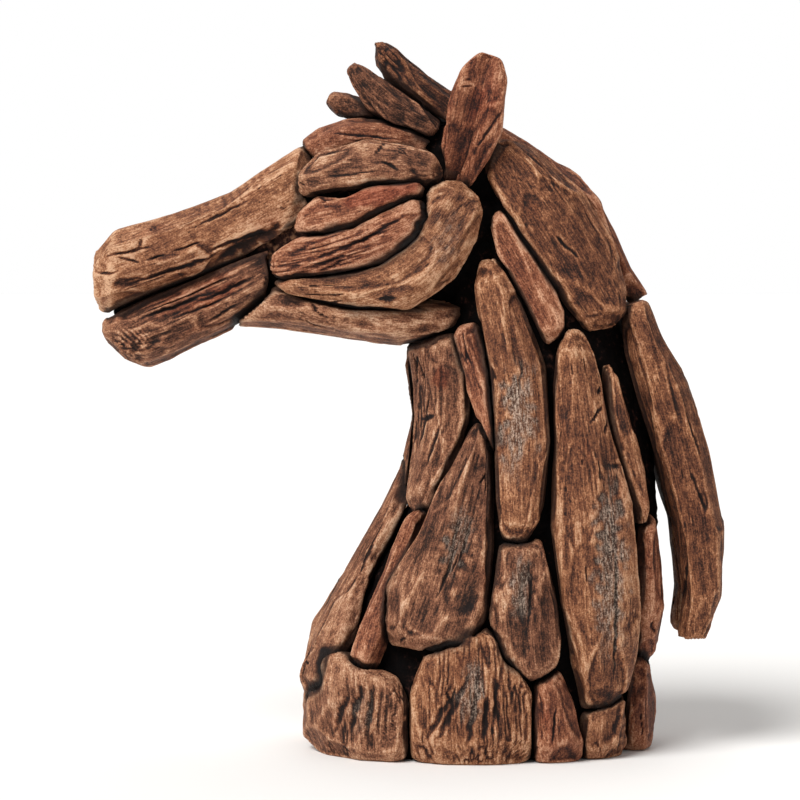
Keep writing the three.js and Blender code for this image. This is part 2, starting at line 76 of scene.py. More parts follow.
# How each kind of length was weathered, where it isn't plain. furrow: how much of the grain has opened,
# and how deep. crack: how many drying cracks. tone: lighter or darker than its wood. red: how much red
# stain. lime: how much white bloom. cuts: chisel cuts for each square centimetre.
PLAIN = dict(furrow=0.3, crack=0.25, tone=0.0, red=0.0, lime=0.0, cuts=0.35)
WEATHER = {
    "nose": dict(furrow=0.25, crack=0.0, tone=0.17, red=0.06, cuts=0.16),
    "chin": dict(furrow=0.5, crack=0.0, tone=-0.12, red=0.12, cuts=0.14),
    "jaw": dict(furrow=0.1, crack=0.0, cuts=0.16),
    "forehead": dict(furrow=0.5, crack=0.3, tone=-0.03),
    "brow": dict(furrow=0.35, crack=0.1, tone=-0.08, cuts=0.3),
    "eye": dict(furrow=0.05, crack=0.0, tone=0.06, red=0.12, cuts=0.1),
    "cheekbone": dict(furrow=0.8, crack=0.1, red=0.05, tone=0.09, cuts=0.1),
    "cheek": dict(crack=0.05, tone=0.05, lime=0.05, cuts=0.16),
    "ear": dict(furrow=0.4, crack=0.1, red=0.15, tone=-0.09, cuts=0.1),
    "forelock_top": dict(furrow=0.6, crack=0.3, tone=-0.26),
    "forelock_middle": dict(furrow=0.4, crack=0.2, tone=-0.28),
    "forelock_low": dict(furrow=0.4, crack=0.2, tone=-0.28),
    "mane_crest": dict(furrow=0.35, crack=0.0, tone=-0.08),
    "mane_ridge": dict(furrow=0.25, crack=0.1, tone=-0.03),
    "mane_back": dict(tone=-0.07, cuts=0.16),
    "neck_long": dict(furrow=0.25, crack=0.0, cuts=0.25),
    "neck_narrow": dict(furrow=0.15, crack=0.0, tone=0.03, red=0.05),
    "neck_short": dict(furrow=0.1, crack=0.1),
    "throat": dict(furrow=0.5, crack=0.3, tone=-0.05),
    "breast": dict(furrow=0.4, crack=0.2, tone=-0.03),
    "chest_edge": dict(crack=0.2, tone=-0.04, cuts=0.25),
    "chest_slim": dict(furrow=0.15, crack=0.1, tone=0.02),
    "chest_broad": dict(crack=0.05, tone=-0.11, cuts=0.2),
    "shoulder_long": dict(furrow=0.35, crack=0.1, cuts=0.2),
    "shoulder_small": dict(furrow=0.25, crack=0.1, tone=-0.13, cuts=0.25),
    "shoulder_thin": dict(furrow=0.35, crack=0.2, tone=-0.04),
    "shoulder_end": dict(crack=0.2, tone=-0.03, red=0.1),
    "base_front": dict(furrow=0.6, crack=0.1, tone=-0.01, cuts=0.12),
    "base_middle": dict(furrow=0.85, crack=0.1, cuts=0.08),
    "base_small": dict(furrow=0.5, crack=0.3, tone=-0.06),
    "base_back": dict(furrow=0.15, crack=0.2),
    "heel": dict(crack=0.2, tone=-0.03),
}

# What a mark does: down is how far it goes in, in mm; dark, red, white and pale change the colour; open
# lays the grain open, rasped leaves fine scratches, bars are saw marks across the grain, and rings are
# those round a knot. bend is how far its middle line strays, in half widths.
EFFECTS = {
    "crack": dict(down=1.6, dark=0.35, bend=0.6),
    "groove": dict(down=2.4, dark=0.25, bend=0.5),
    "pit": dict(down=2.0, dark=0.6, bend=0.3),
    "hollow": dict(down=2.0, open=0.6, bend=0.25),
    "step": dict(down=3.5, dark=0.4, bend=0.3),
    "bloom": dict(down=0.3, white=1.0, bend=0.7),
    "rust": dict(red=0.5, dark=0.1, bend=0.4),
    "pale": dict(down=0.2, pale=0.16, bend=0.1),
    "dark": dict(dark=0.3, bend=0.5),
    "saw": dict(bars=1.0, bend=0.2),
    "rasp": dict(rasped=1.0, bend=0.3),
    "knot": dict(rings=1.0, bend=0.15),
}

# The marks on single lengths of the left side: kind, x and z of the middle as seen from the left in mm,
# the angle of its long way to +X in degrees, half its length and half its width in mm, and strength.
MARKS = {
    "nose": [
        ("saw", -117, 388, 25, 42, 13, 0.5), ("knot", -176, 363, 10, 4, 3.2, 0.7),
        ("dark", -166, 360, 15, 14, 8, 0.5), ("crack", -173, 342, 18, 8, 1.3, 1.0),
        ("crack", -184, 352, 80, 5, 1.3, 0.8), ("crack", -208, 331, 4, 8, 1.3, 0.9),
        ("hollow", -193, 324, 12, 16, 5, 0.8), ("dark", -186, 322, 14, 16, 5, 0.5),
        ("groove", -152, 336, 18, 48, 2.2, 1.0), ("dark", -165, 329, 19, 40, 7, 0.4),
        ("rust", -128, 333, 20, 46, 4, 0.9), ("pale", -124, 334, 20, 44, 3.5, 0.7),
        ("step", -108, 351, 25, 32, 8, 1.3), ("pit", -92, 352, 30, 9, 4, 1.0),
        ("groove", -118, 353, 22, 24, 1.8, 1.0), ("groove", -128, 372, 26, 26, 1.4, 0.5),
        ("crack", -152, 349, 20, 14, 1.3, 0.9), ("crack", -192, 340, -14, 9, 1.3, 1.0),
        ("groove", -192, 346, 12, 20, 1.6, 0.7), ("dark", -82, 380, 62, 16, 5, 0.8),
        ("dark", -80, 398, 66, 22, 5, 0.9),
    ],
    "chin": [
        ("hollow", -140, 316, 20, 56, 13, 0.6), ("groove", -160, 309, 21, 34, 1.8, 1.0),
        ("groove", -126, 320, 25, 26, 1.8, 1.0), ("pale", -140, 325, 22, 44, 6, 1.8),
        ("rust", -140, 325, 22, 40, 5, 0.5), ("pale", -146, 308, 21, 40, 4, 0.7),
        ("rasp", -192, 286, 0, 20, 9, 1.0), ("groove", -150, 318, 22, 40, 1.8, 0.9),
        ("groove", -138, 309, 21, 30, 1.6, 0.8), ("rust", -145, 312, 21, 44, 9, 0.6),
        ("crack", -128, 303, 32, 16, 1.3, 0.8), ("pale", -180, 292, 10, 22, 8, 0.5),
    ],
    "jaw": [("dark", -40, 300, -8, 40, 5, 0.3), ("dark", 15, 292, 25, 12, 8, 0.5)],
    "forehead": [("crack", -30, 425, -4, 28, 1.3, 1.0), ("crack", -20, 420, -6, 24, 1.3, 1.0)],
    "brow": [
        ("pale", -58, 412, 25, 14, 9, 1.3), ("knot", -4, 414, 0, 6, 5, 1.0),
        ("crack", -19, 416, 50, 7, 1.3, 0.8), ("crack", -12, 404, -30, 8, 1.3, 0.8),
        ("crack", -40, 398, 8, 22, 1.3, 0.5), ("crack", -13, 405, -20, 5, 1.4, 0.8),
        ("dark", 10, 408, -10, 12, 7, 0.4),
    ],
    "eye": [
        ("rust", -18, 386, 15, 36, 10, 1.1), ("pale", -22, 386, 15, 32, 8, 1.4),
        ("pale", -60, 371, 0, 13, 9, 0.7), ("dark", -42, 360, 10, 24, 4, 0.5),
    ],
    "cheekbone": [
        ("groove", -40, 350, 22, 38, 1.8, 0.8), ("groove", -52, 340, 16, 30, 1.6, 0.8),
        ("groove", -20, 360, 30, 26, 1.6, 0.7), ("dark", -10, 366, 30, 14, 8, 0.6),
        ("dark", -40, 330, 10, 26, 4, 0.7), ("pale", -84, 333, 20, 8, 6, 0.6),
    ],
    "cheek": [
        ("dark", -14, 314, 8, 10, 3.5, 1.2), ("crack", -14, 314, 8, 8, 1.5, 0.8),
        ("dark", -2, 320, 40, 9, 4, 1.0), ("dark", 19, 370, 25, 10, 6, 0.9),
        ("dark", 29, 343, 80, 11, 3, 0.9), ("dark", 29, 324, 0, 5, 5, 0.8),
        ("dark", 32, 384, 90, 12, 8, 0.5), ("dark", -28, 325, -10, 12, 3, 0.6),
        ("bloom", 26, 352, 80, 30, 12, 0.35), ("dark", 36, 358, 78, 18, 4, 0.7),
        ("dark", 22, 338, 60, 9, 5, 0.7), ("pale", 0, 325, 25, 26, 6, 0.4),
    ],
    "ear": [
        ("crack", 52, 424, 55, 30, 1.3, 0.6), ("pale", 60, 425, 60, 22, 5, 0.5),
        ("rust", 46, 448, 75, 18, 8, 0.5),
    ],
    "mane_crest": [
        ("rust", 80, 380, -50, 22, 10, 0.35), ("pale", 98, 372, -55, 36, 7, 0.5),
        ("pit", 105, 352, -50, 7, 1.6, 0.9), ("crack", 112, 346, -40, 8, 1.3, 0.8),
        ("dark", 100, 318, -45, 24, 8, 0.6), ("pale", 88, 404, -35, 20, 6, 0.6),
    ],
    "neck_long": [
        ("bloom", 73, 232, 84, 50, 16, 1.2), ("bloom", 71, 250, 86, 16, 7, 0.6),
        ("hollow", 73, 237, 84, 40, 11, 0.4), ("pale", 66, 192, 80, 24, 7, 0.5),
        ("crack", 76, 262, 86, 16, 1.3, 0.4),
    ],
    "neck_narrow": [("rust", 82, 330, -60, 16, 5, 0.3), ("pale", 90, 312, -62, 20, 5, 0.4)],
    "neck_short": [("crack", 36, 274, -45, 9, 1.3, 0.6)],
    "throat": [
        ("rust", 22, 260, 80, 12, 8, 1.0), ("crack", 10, 230, 78, 22, 1.3, 0.9),
        ("crack", 16, 214, 70, 18, 1.3, 0.8), ("pit", 12, 232, 20, 6, 2, 0.8),
        ("pale", 4, 210, 72, 26, 6, 0.6), ("dark", -2, 288, 20, 14, 6, 0.4),
    ],
    "chest_broad": [
        ("hollow", 32, 145, 72, 36, 13, 1.0), ("bloom", 32, 152, 74, 32, 9, 0.8),
        ("pale", 8, 118, 66, 38, 10, 0.9), ("pale", 36, 205, 76, 16, 10, 0.8),
        ("crack", 26, 132, 70, 24, 1.3, 1.0), ("crack", 38, 150, 74, 18, 1.3, 0.9),
        ("dark", 40, 110, 85, 16, 8, 0.5),
    ],
    "chest_edge": [
        ("step", -23, 122, 66, 10, 4, 0.8), ("crack", -26, 140, 66, 26, 1.3, 0.7),
        ("pale", -52, 96, 66, 22, 7, 0.5), ("crack", -40, 116, 50, 10, 1.3, 0.7),
    ],
    "chest_slim": [("dark", -20, 80, 66, 12, 6, 0.5), ("pale", -14, 130, 68, 24, 4, 0.4)],
    "shoulder_long": [
        ("hollow", 137, 172, 86, 66, 13, 1.0), ("bloom", 137, 134, 89, 76, 13, 1.3),
        ("crack", 141, 104, 89, 52, 1.5, 1.3), ("crack", 143, 201, 0, 9, 1.3, 0.9),
        ("crack", 128, 236, 50, 9, 1.3, 0.9), ("crack", 136, 230, 70, 9, 1.3, 0.9),
        ("rust", 118, 200, 88, 60, 8, 0.25), ("pale", 122, 286, 70, 12, 10, 0.5),
        ("pit", 131, 252, 60, 3, 1.6, 0.9), ("dark", 135, 48, 0, 9, 8, 1.0),
        ("dark", 136, 62, 90, 14, 12, 0.4), ("dark", 108, 150, 88, 60, 4, 0.5),
    ],
    "shoulder_small": [
        ("hollow", 80, 118, 84, 26, 8, 1.1), ("bloom", 75, 122, 86, 28, 9, 1.1),
        ("pale", 64, 112, 80, 26, 6, 0.7), ("crack", 82, 112, 84, 24, 1.3, 0.9),
    ],
    "shoulder_thin": [("dark", 144, 236, -70, 16, 5, 0.7), ("pale", 152, 205, -70, 20, 4, 0.4)],
    "mane_back": [
        ("crack", 195, 223, -72, 22, 1.3, 1.0), ("crack", 203, 232, -70, 14, 1.3, 0.7),
        ("pale", 181, 270, -55, 18, 8, 0.5), ("bloom", 200, 245, -66, 26, 4, 0.35),
        ("pale", 196, 150, 88, 30, 7, 0.4), ("crack", 190, 120, 85, 16, 1.3, 0.8),
    ],
    "base_middle": [
        ("bloom", 42, 52, 80, 28, 12, 1.1), ("groove", 30, 40, 66, 30, 3.4, 0.7),
        ("groove", 44, 42, 80, 32, 3.6, 0.7), ("groove", 60, 40, 96, 28, 3.4, 0.7),
        ("groove", 20, 32, 60, 20, 3.0, 0.6), ("groove", 52, 34, 84, 22, 3.0, 0.6),
    ],
    "base_front": [
        ("groove", -36, 36, 76, 24, 3.0, 0.8), ("groove", -26, 36, 82, 22, 3.0, 0.8),
        ("groove", -46, 32, 70, 18, 2.8, 0.7), ("bloom", -30, 34, 78, 20, 8, 0.4),
    ],
    "base_back": [("knot", 150, 22, 0, 22, 18, 0.5)],
    "base_small": [("crack", 98, 26, 84, 16, 1.3, 0.8), ("rust", 96, 30, 86, 18, 6, 0.4)],
}
UPRIGHT = ("base_middle", "base_back", "base_small", "heel")  # their middle line stands straight up
WRAPPED = ("base_front",)  # its middle line runs round the corner, and its grain stands up


def kind_of(name):
    """A length's name without its side."""
    return name.removesuffix("_left").removesuffix("_right")


# The camera looks along +Y from a little above, from far enough away for nearly parallel lines.
AIM = Vector((-5.5, 0.2, 242.0)) * MM
DISTANCE = 2.0  # in metres
ELEVATION = math.radians(3.0)
FIELD_WIDTH = 0.56  # what the picture's width takes in at the horse's middle, in metres
SENSOR = 36.0  # in mm


def make_camera():
    """The camera, with the lens that takes in the field's width from its distance."""
    camera = bpy.data.objects.new("camera", bpy.data.cameras.new("camera"))
    bpy.context.scene.collection.objects.link(camera)
    camera.data.sensor_width = SENSOR
    camera.data.lens = SENSOR * DISTANCE / FIELD_WIDTH
    back = Vector((0.0, -math.cos(ELEVATION), math.sin(ELEVATION)))
    camera.location = AIM + back * DISTANCE
    camera.rotation_euler = (-back).to_track_quat("-Z", "Y").to_euler()
    bpy.context.scene.camera = camera


make_camera()


# Noise and small helpers
TABLE = np.random.default_rng(7).permutation(256)
SLOPES = np.random.default_rng(8).normal(size=(256, 3))
SLOPES /= np.linalg.norm(SLOPES, axis=1, keepdims=True)
NOISE_GAIN = 1.7  # brings the blended slopes' values up to about 1
SMALLEST = 1e-9  # keeps a division from being one by nothing


def noise(points):
    """Smooth noise from about -1 to 1. Each corner of a unit cube has a random slope, and the slopes'
    values are blended across the cube by 6t^5 - 15t^4 + 10t^3 along each side."""
    cell = np.floor(points).astype(np.int64)
    part = points - cell
    fade = part**3 * (part * (part * 6 - 15) + 10)
    total = np.zeros(points.shape[:-1])
    for corner in itertools.product((0, 1), repeat=3):
        key = 0
        for axis in range(3):
            key = TABLE[(key + cell[..., axis] + corner[axis]) & 255]
        weight = np.where(corner, fade, 1 - fade).prod(-1)
        total += weight * (SLOPES[key] * (part - corner)).sum(-1)
    return NOISE_GAIN * total


def smooth_step(low, high, value):
    """0 below low and 1 above high, with the curve 3t^2 - 2t^3 between them."""
    t = np.clip((value - low) / (high - low), 0, 1)
    return t * t * (3 - 2 * t)


def waves(turns):
    """A cosine from 1 at whole turns to 0 at half ones."""
    return 0.5 + 0.5 * np.cos(2 * math.pi * turns)


def unit(vectors):
    """Vectors brought to length 1."""
    return vectors / np.maximum(np.linalg.norm(vectors, axis=-1, keepdims=True), SMALLEST)


def blurred(grid, rounds):
    """A grid of places along (first) and angles round (second), each place mixed with its neighbours
    in the shares 1, 2, 1 along both directions, as many times as rounds says."""
    for _ in range(rounds):
        ends = np.concatenate([grid[:1], grid, grid[-1:]])
        grid = (ends[:-2] + 2 * grid + ends[2:]) / 4
        grid = (np.roll(grid, 1, 1) + 2 * grid + np.roll(grid, -1, 1)) / 4
    return grid


# The solids
def solid(name):
    """A node's triangles as an array of corners in millimetres: triangle, corner, axis."""
    data = frame["nodes"][name].data
    data.calc_loop_triangles()
    corners = np.empty(len(data.vertices) * 3, np.float32)
    data.vertices.foreach_get("co", corners)
    order = np.empty(len(data.loop_triangles) * 3, np.int32)
    data.loop_triangles.foreach_get("vertices", order)
    return corners.reshape(-1, 3).astype(float)[order.reshape(-1, 3)] / MM


def sprinkled(triangles, area_each, rng):
    """Points scattered evenly over triangles, one for each area_each of square millimetres."""
    a, b, c = triangles[:, 0], triangles[:, 1], triangles[:, 2]
    areas = np.linalg.norm(np.cross(b - a, c - a), axis=1) / 2
    which = rng.choice(len(areas), int(areas.sum() / area_each), p=areas / areas.sum())
    u, v = rng.random((2, len(which), 1))
    u, v = np.where(u + v > 1, 1 - u, u), np.where(u + v > 1, 1 - v, v)
    return a[which] + u * (b - a)[which] + v * (c - a)[which]


SPINE_DOT = 3.0  # square millimetres of surface for each of the points that a middle line is found from
SPINE_TAILS = (0.3, 99.7)  # the percentiles of their places that count as a length's two ends
SPINE_POINTS = 9
SPINE_INSET = 0.16  # where the middle line ends, as a share of the length in from its end
SPINE_DEGREE = 2  # a middle line is a polynomial of this degree, so that it bends one way only
SLICE = 0.2  # how wide a slice round each of its points is, as a share of the length
LINE_TESTS = 41  # places on a middle line that are tested for lying in the wood
HOLLOW_MARGIN = 0.08  # how far short of a hollow the line ends, as a share of the line


def spine(points, axis):
    """The curve down a length's middle, as three polynomials read from 0 to 1, and how long it is. The
    points of the surface are sliced square to a straight axis, and the curve runs as near as its degree
    allows to the slices' middles."""
    middle = points.mean(0)
    if axis is None:
        axis = np.linalg.eigh(np.cov((points - middle).T))[1][:, -1]
        axis = axis * np.sign(axis[np.argmax(np.abs(axis))])
    place = (points - middle) @ axis
    low, high = np.percentile(place, SPINE_TAILS)
    at = low + (high - low) * np.linspace(SPINE_INSET, 1 - SPINE_INSET, SPINE_POINTS)
    weight = np.exp(-(((place - at[:, None]) / (high - low) / SLICE) ** 2))
    line = weight @ points / weight.sum(1, keepdims=True)
    line += np.outer(at - (line - middle) @ axis, axis)
    steps = np.linspace(0, 1, SPINE_POINTS)
    curve = [np.polynomial.Polynomial.fit(steps, line[:, k], SPINE_DEGREE) for k in range(3)]
    return curve, np.linalg.norm(np.diff(line, axis=0), axis=1).sum()


def inside(points, triangles):
    """Whether each point lies inside a closed solid. The solid angles of the triangles, seen from a point
    inside, add up to the whole sphere, and from one outside to nothing. Each angle's half has the tangent
    det(a, b, c) / (|a||b||c| + (a.b)|c| + (b.c)|a| + (c.a)|b|)."""
    a, b, c = (triangles[:, k] - points[:, None] for k in range(3))
    far_a, far_b, far_c = (np.linalg.norm(corner, axis=-1) for corner in (a, b, c))
    above = (a * np.cross(b, c)).sum(-1)
    below = far_a * far_b * far_c + (a * b).sum(-1) * far_c
    below += (b * c).sum(-1) * far_a
    below += (c * a).sum(-1) * far_b
    return np.arctan2(above, below).sum(1) > math.pi


def kept_part(curve, triangles):
    """The longest part of the curve that lies inside the wood, as two places on it. Where the wood is
    hollowed to fit another piece, the part ends a little short of the hollow."""
    at = np.linspace(0, 1, LINE_TESTS)
    within = inside(np.stack([part(at) for part in curve], -1), triangles)
    changes = np.flatnonzero(np.diff(np.concatenate([[False], within, [False]])))
    first, after = max(changes.reshape(-1, 2), key=lambda run: run[1] - run[0])
    low = at[first] if first == 0 else at[first] + HOLLOW_MARGIN
    high = at[after - 1] if after == LINE_TESTS else at[after - 1] - HOLLOW_MARGIN
    return low, high


MISS = 1e-6  # how far outside a triangle's edge a ray still meets it
SURFACE_BLUR = 2  # rounds of blurring that take the solid's sharp facets off


class Length:
    """A length of wood seen from the line down its middle. The first parameter runs from -1 to 2: below
    0 and above 1 it tips the rays over towards the ends, and between them it moves along the line. The
    second is the angle round the line, with 0 facing out."""

    def __init__(self, triangles, axis, facing, rng):
        self.triangles = triangles
        curve, length = spine(sprinkled(triangles, SPINE_DOT, rng), axis)
        low, high = kept_part(curve, triangles)
        self.curve = [part(np.polynomial.Polynomial([low, high - low])) for part in curve]
        self.length = length * (high - low)
        self.facing = facing

    def rays(self, along, round_):
        """Where the rays start, the three directions of the line there, and which way the rays go."""
        s = np.clip(along, 0, 1)
        start = np.stack([curve(s) for curve in self.curve], -1)
        run = unit(np.stack([curve.deriv()(s) for curve in self.curve], -1))
        out = unit(self.facing - (run @ self.facing)[:, None] * run)
        side = np.cross(run, out)
        tip = np.clip(along, -1, 2) - s
        tilt = (tip * math.pi / 2)[:, None, None]
        flat = np.cos(round_)[:, None] * out[:, None] + np.sin(round_)[:, None] * side[:, None]
        return start, (out, side, run), np.cos(tilt) * flat + np.sin(tilt) * run[:, None]

    def reach(self, start, directions):
        """How far out each ray leaves the solid for the last time, or 0 where it misses. It goes through
        a triangle where it lies on the inner side of the three planes through its start and the
        triangle's edges."""
        a, b, c = (self.triangles[:, k] - start[:, None] for k in range(3))
        within = True
        for first, second in ((a, b), (b, c), (c, a)):
            planes = unit(np.cross(first, second))
            within = within & (directions @ planes.swapaxes(1, 2) > -MISS)
        normal = np.cross(b - a, c - a)
        towards = directions @ normal.swapaxes(1, 2)
        height = (a * normal).sum(-1)[:, None]
        far = height / np.maximum(towards, SMALLEST)
        return np.where(within & (towards > SMALLEST), far, 0).max(-1)

    def surface(self, along, round_):
        """The surface on a grid of the two parameters, and the grain's own coordinates there: two
        across the wood and one along it."""
        start, frames, directions = self.rays(along, round_)
        far = self.reach(start, directions)
        met = (far > 0).astype(float)
        shared = np.maximum(blurred(met, SURFACE_BLUR), SMALLEST)
        offset = directions * (met * blurred(far, SURFACE_BLUR) / shared)[..., None]
        points = start[:, None] + offset
        grain = np.stack([(offset * axis[:, None]).sum(-1) for axis in frames], -1)
        grain[..., 2] += (np.clip(along, 0, 1) * self.length)[:, None]
        return points, grain


LEAST_STEPS = 12  # along and round even the smallest length


def evened(values, lengths, spacing):
    """The parameter's values read again so that the surface between them has equal steps."""
    travelled = np.concatenate([[0], np.cumsum(lengths)])
    count = max(LEAST_STEPS, int(travelled[-1] / spacing))
    return np.interp(np.linspace(0, travelled[-1], count + 1), travelled, values)


ROUGH_ROWS, ROUGH_TURNS = 61, 48  # of the first grid, along a length and round it
WIDE_PERCENTILE = 70  # of the steps between two angles along a length, the one that sets the grid there
NEIGHBOUR_DOT = 4.0  # square millimetres of surface for each of the points that a gap is measured to
NEAR = 14.0  # how far from a piece its neighbours are looked for, in mm
TOUCHING = 1.6  # closer than this to its neighbour, a surface is hidden
FEELERS = (2.0, 5.0, 8.0)  # how far straight in front of a surface its neighbours are felt for, in mm


def gap_to(points, others):
    """The distance from each point of a grid to the nearest of the other pieces' points."""
    flat = points.reshape(-1, 3)
    low, high = flat.min(0) - NEAR, flat.max(0) + NEAR
    others = others[((others > low) & (others < high)).all(1)]
    if not len(others):
        return np.full(points.shape[:-1], NEAR)
    squares = (flat**2).sum(1)[:, None] + (others**2).sum(1) - 2 * flat @ others.T
    return np.sqrt(np.clip(squares.min(1), 0, NEAR**2)).reshape(points.shape[:-1])


def read_grid(values, along, round_, new_along, new_round):
    """A rough grid of values read between its places at new parameters, by straight lines."""
    wrapped = np.concatenate([round_, [2 * math.pi]])
    turned = np.stack([np.interp(new_round, wrapped, np.append(row, row[0])) for row in values])
    return np.stack([np.interp(new_along, along, turned[:, k]) for k in range(len(new_round))], 1)


def normals_of(points):
    """Outward normals of a grid, square to its two directions. points is closed round the second."""
    down = np.gradient(points, axis=0)
    across = np.roll(points, -1, 1) - np.roll(points, 1, 1)
    normal = unit(np.cross(across, down))
    outward = (normal * (points - points.mean(1, keepdims=True))).sum()
    return normal if outward > 0 else -normal


# Working the surface
CUT_DEPTH = (0.9, 2.4)  # how deep a chisel cut goes, in mm
CUT_WIDTH = (7.0, 15.0)  # half the width at which a cut on flat wood runs out
CUT_LENGTH = 2.8  # how much longer than wide a cut is
CUT_TILT = 0.17  # how far a cut's direction strays from the surface's
CUT_FACING = (0.5, 0.8)  # how squarely a surface faces a cut that first bites there, and that fully does
CUT_LIMIT = 1.3  # the most that a cut takes off, in its own depths
SQUARE_CM = 100.0  # in square millimetres


def chiselled(points, normals, runs, exposed, rate, rng):
    """How far chisel cuts take the surface down. A cut is a shallow dish: a plane laid just under the
    surface at a chosen place, which rises with the square of the distance from it. What stands above
    the dish is taken off, and where cuts overlap the deepest holds, so that ridges are left between."""
    flat, outward, run = points.reshape(-1, 3), normals.reshape(-1, 3), runs.reshape(-1, 3)
    area = np.linalg.norm(np.cross(np.gradient(points, axis=0), np.gradient(points, axis=1)), axis=-1)
    weight = (area * exposed).ravel()
    count = int(weight.sum() / SQUARE_CM * rate)
    centres = rng.choice(len(flat), count, p=weight / weight.sum())
    depths = rng.uniform(*CUT_DEPTH, count)
    widths = rng.uniform(*CUT_WIDTH, count)
    taken = np.zeros(len(flat))
    for centre, depth, width in zip(centres, depths, widths):
        up = unit(outward[centre] + CUT_TILT * rng.normal(size=3))
        offset = flat - flat[centre]
        height = offset @ up
        lengthways = offset @ run[centre]
        across2 = (offset**2).sum(1) - height**2 - lengthways**2
        rise = depth * (across2 + (lengthways / CUT_LENGTH) ** 2) / width**2
        share = smooth_step(*CUT_FACING, outward @ up)
        taken = np.maximum(taken, np.minimum(height + depth - rise, CUT_LIMIT * depth) * share)
    return taken.reshape(points.shape[:-1])


SWELL = 0.9  # how far unworn wood stands outside its solid, where there is room, in mm
FURROW_DEPTH = (0.4, 0.9)  # of a furrow in closed grain, and what open grain adds, in mm
CRACK_DEPTH = 1.8  # in mm

# Layers of noise: height, sizes in mm twice across the grain and once along it, and where it is read
BROAD = ((0.4, (17, 17, 50), 0), (0.22, (6, 6, 24), 31))
FIBRES = ((0.16, (1.7, 1.7, 20), 57), (0.12, (3.2, 3.2, 7), 71))
OPEN_PATCHES = ((1.0, (19, 19, 60), 83),)
FURROWS = ((1.0, (3.6, 3.6, 42), 11), (0.3, (1.8, 1.8, 16), 19))
SPLITS = ((1.0, (10, 10, 95), 140), (0.06, (3, 3, 9), 5))
PARTINGS = ((1.0, (22, 22, 36), 200),)


def layered(grain, layers):
    """The sum of layers of noise, each drawn out along the grain."""
    return sum(height * noise(grain / size + shift) for height, size, shift in layers)


def weathered(grain, weather, opening):
    """How far the weather has worn the surface down, in mm, and how open the grain is, from 0 to 1.
    Broad waves, fine fibres, furrows where a slow noise passes through zero, and a few long cracks."""
    patches = layered(grain, OPEN_PATCHES) + 1.5 * weather["furrow"] - 1.0
    softer = np.clip(smooth_step(-0.3, 0.5, patches) + opening, 0, 1.2)
    furrow = (1 - smooth_step(0.0, 0.4, np.abs(layered(grain, FURROWS)))) * softer
    parted = smooth_step(0.45, 0.65, layered(grain, PARTINGS) + weather["crack"] * 0.5)
    crack = (1 - smooth_step(0.01, 0.06, np.abs(layered(grain, SPLITS)))) * parted
    closed, opened = FURROW_DEPTH
    worn = (closed + opened * weather["furrow"]) * furrow + CRACK_DEPTH * crack
    worn -= SWELL + layered(grain, BROAD) + layered(grain, FIBRES)
    return worn, np.clip(0.55 * furrow + crack, 0, 1)


MARKED = ("down", "dark", "red", "white", "pale", "open", "rasped")  # what a mark can change
MARK_CORE = 0.35  # the share of its size inside which a mark has its full strength
MARK_FACING = (-0.1, 0.3)  # how squarely wood faces the camera where marks first show, and fully do
MARK_BENDS = 7.0  # size of the noise that bends a mark's middle line, in mm
SAW_SPACING = 6.0  # between saw marks, in mm
SAW_SHARPNESS = 3  # the power that makes saw marks narrower than the wood between them
KNOT_RINGS = 2.5  # rings from a knot's middle to its edge
SAWN = {"down": 0.3, "dark": 0.25}  # what saw marks do, in mm and in tone
RINGED = {"down": 0.7, "dark": 0.5}  # what a knot's rings do


def marked(points, normals, marks):
    """What the marks do on a grid, as one array for each kind of effect. A mark is an oval spot on the
    side that faces the camera, full inside and fading to its edge, with its middle line bent by noise.
    Saw marks and a knot's rings are cosines along it and out from its middle."""
    total = {key: np.zeros(points.shape[:-1]) for key in MARKED}
    seen = smooth_step(*MARK_FACING, -normals[..., 1])
    stray = noise(points / MARK_BENDS + 60)
    for kind, x, z, angle, long, wide, strength in marks:
        effects = EFFECTS[kind]
        run, rise = math.cos(math.radians(angle)), math.sin(math.radians(angle))
        across, up = points[..., 0] - x, points[..., 2] - z
        far = (across * run + up * rise) / long
        off = (up * run - across * rise) / wide + effects["bend"] * stray
        distance = np.sqrt(far**2 + off**2)
        spot = strength * seen * (1 - smooth_step(MARK_CORE, 1.0, distance))
        for key in total:
            total[key] += effects.get(key, 0) * spot
        bars = effects.get("bars", 0) * waves(far * long / SAW_SPACING) ** SAW_SHARPNESS * spot
        rings = effects.get("rings", 0) * waves(distance * KNOT_RINGS) * spot
        for key in SAWN:
            total[key] += SAWN[key] * bars + RINGED[key] * rings
    return total


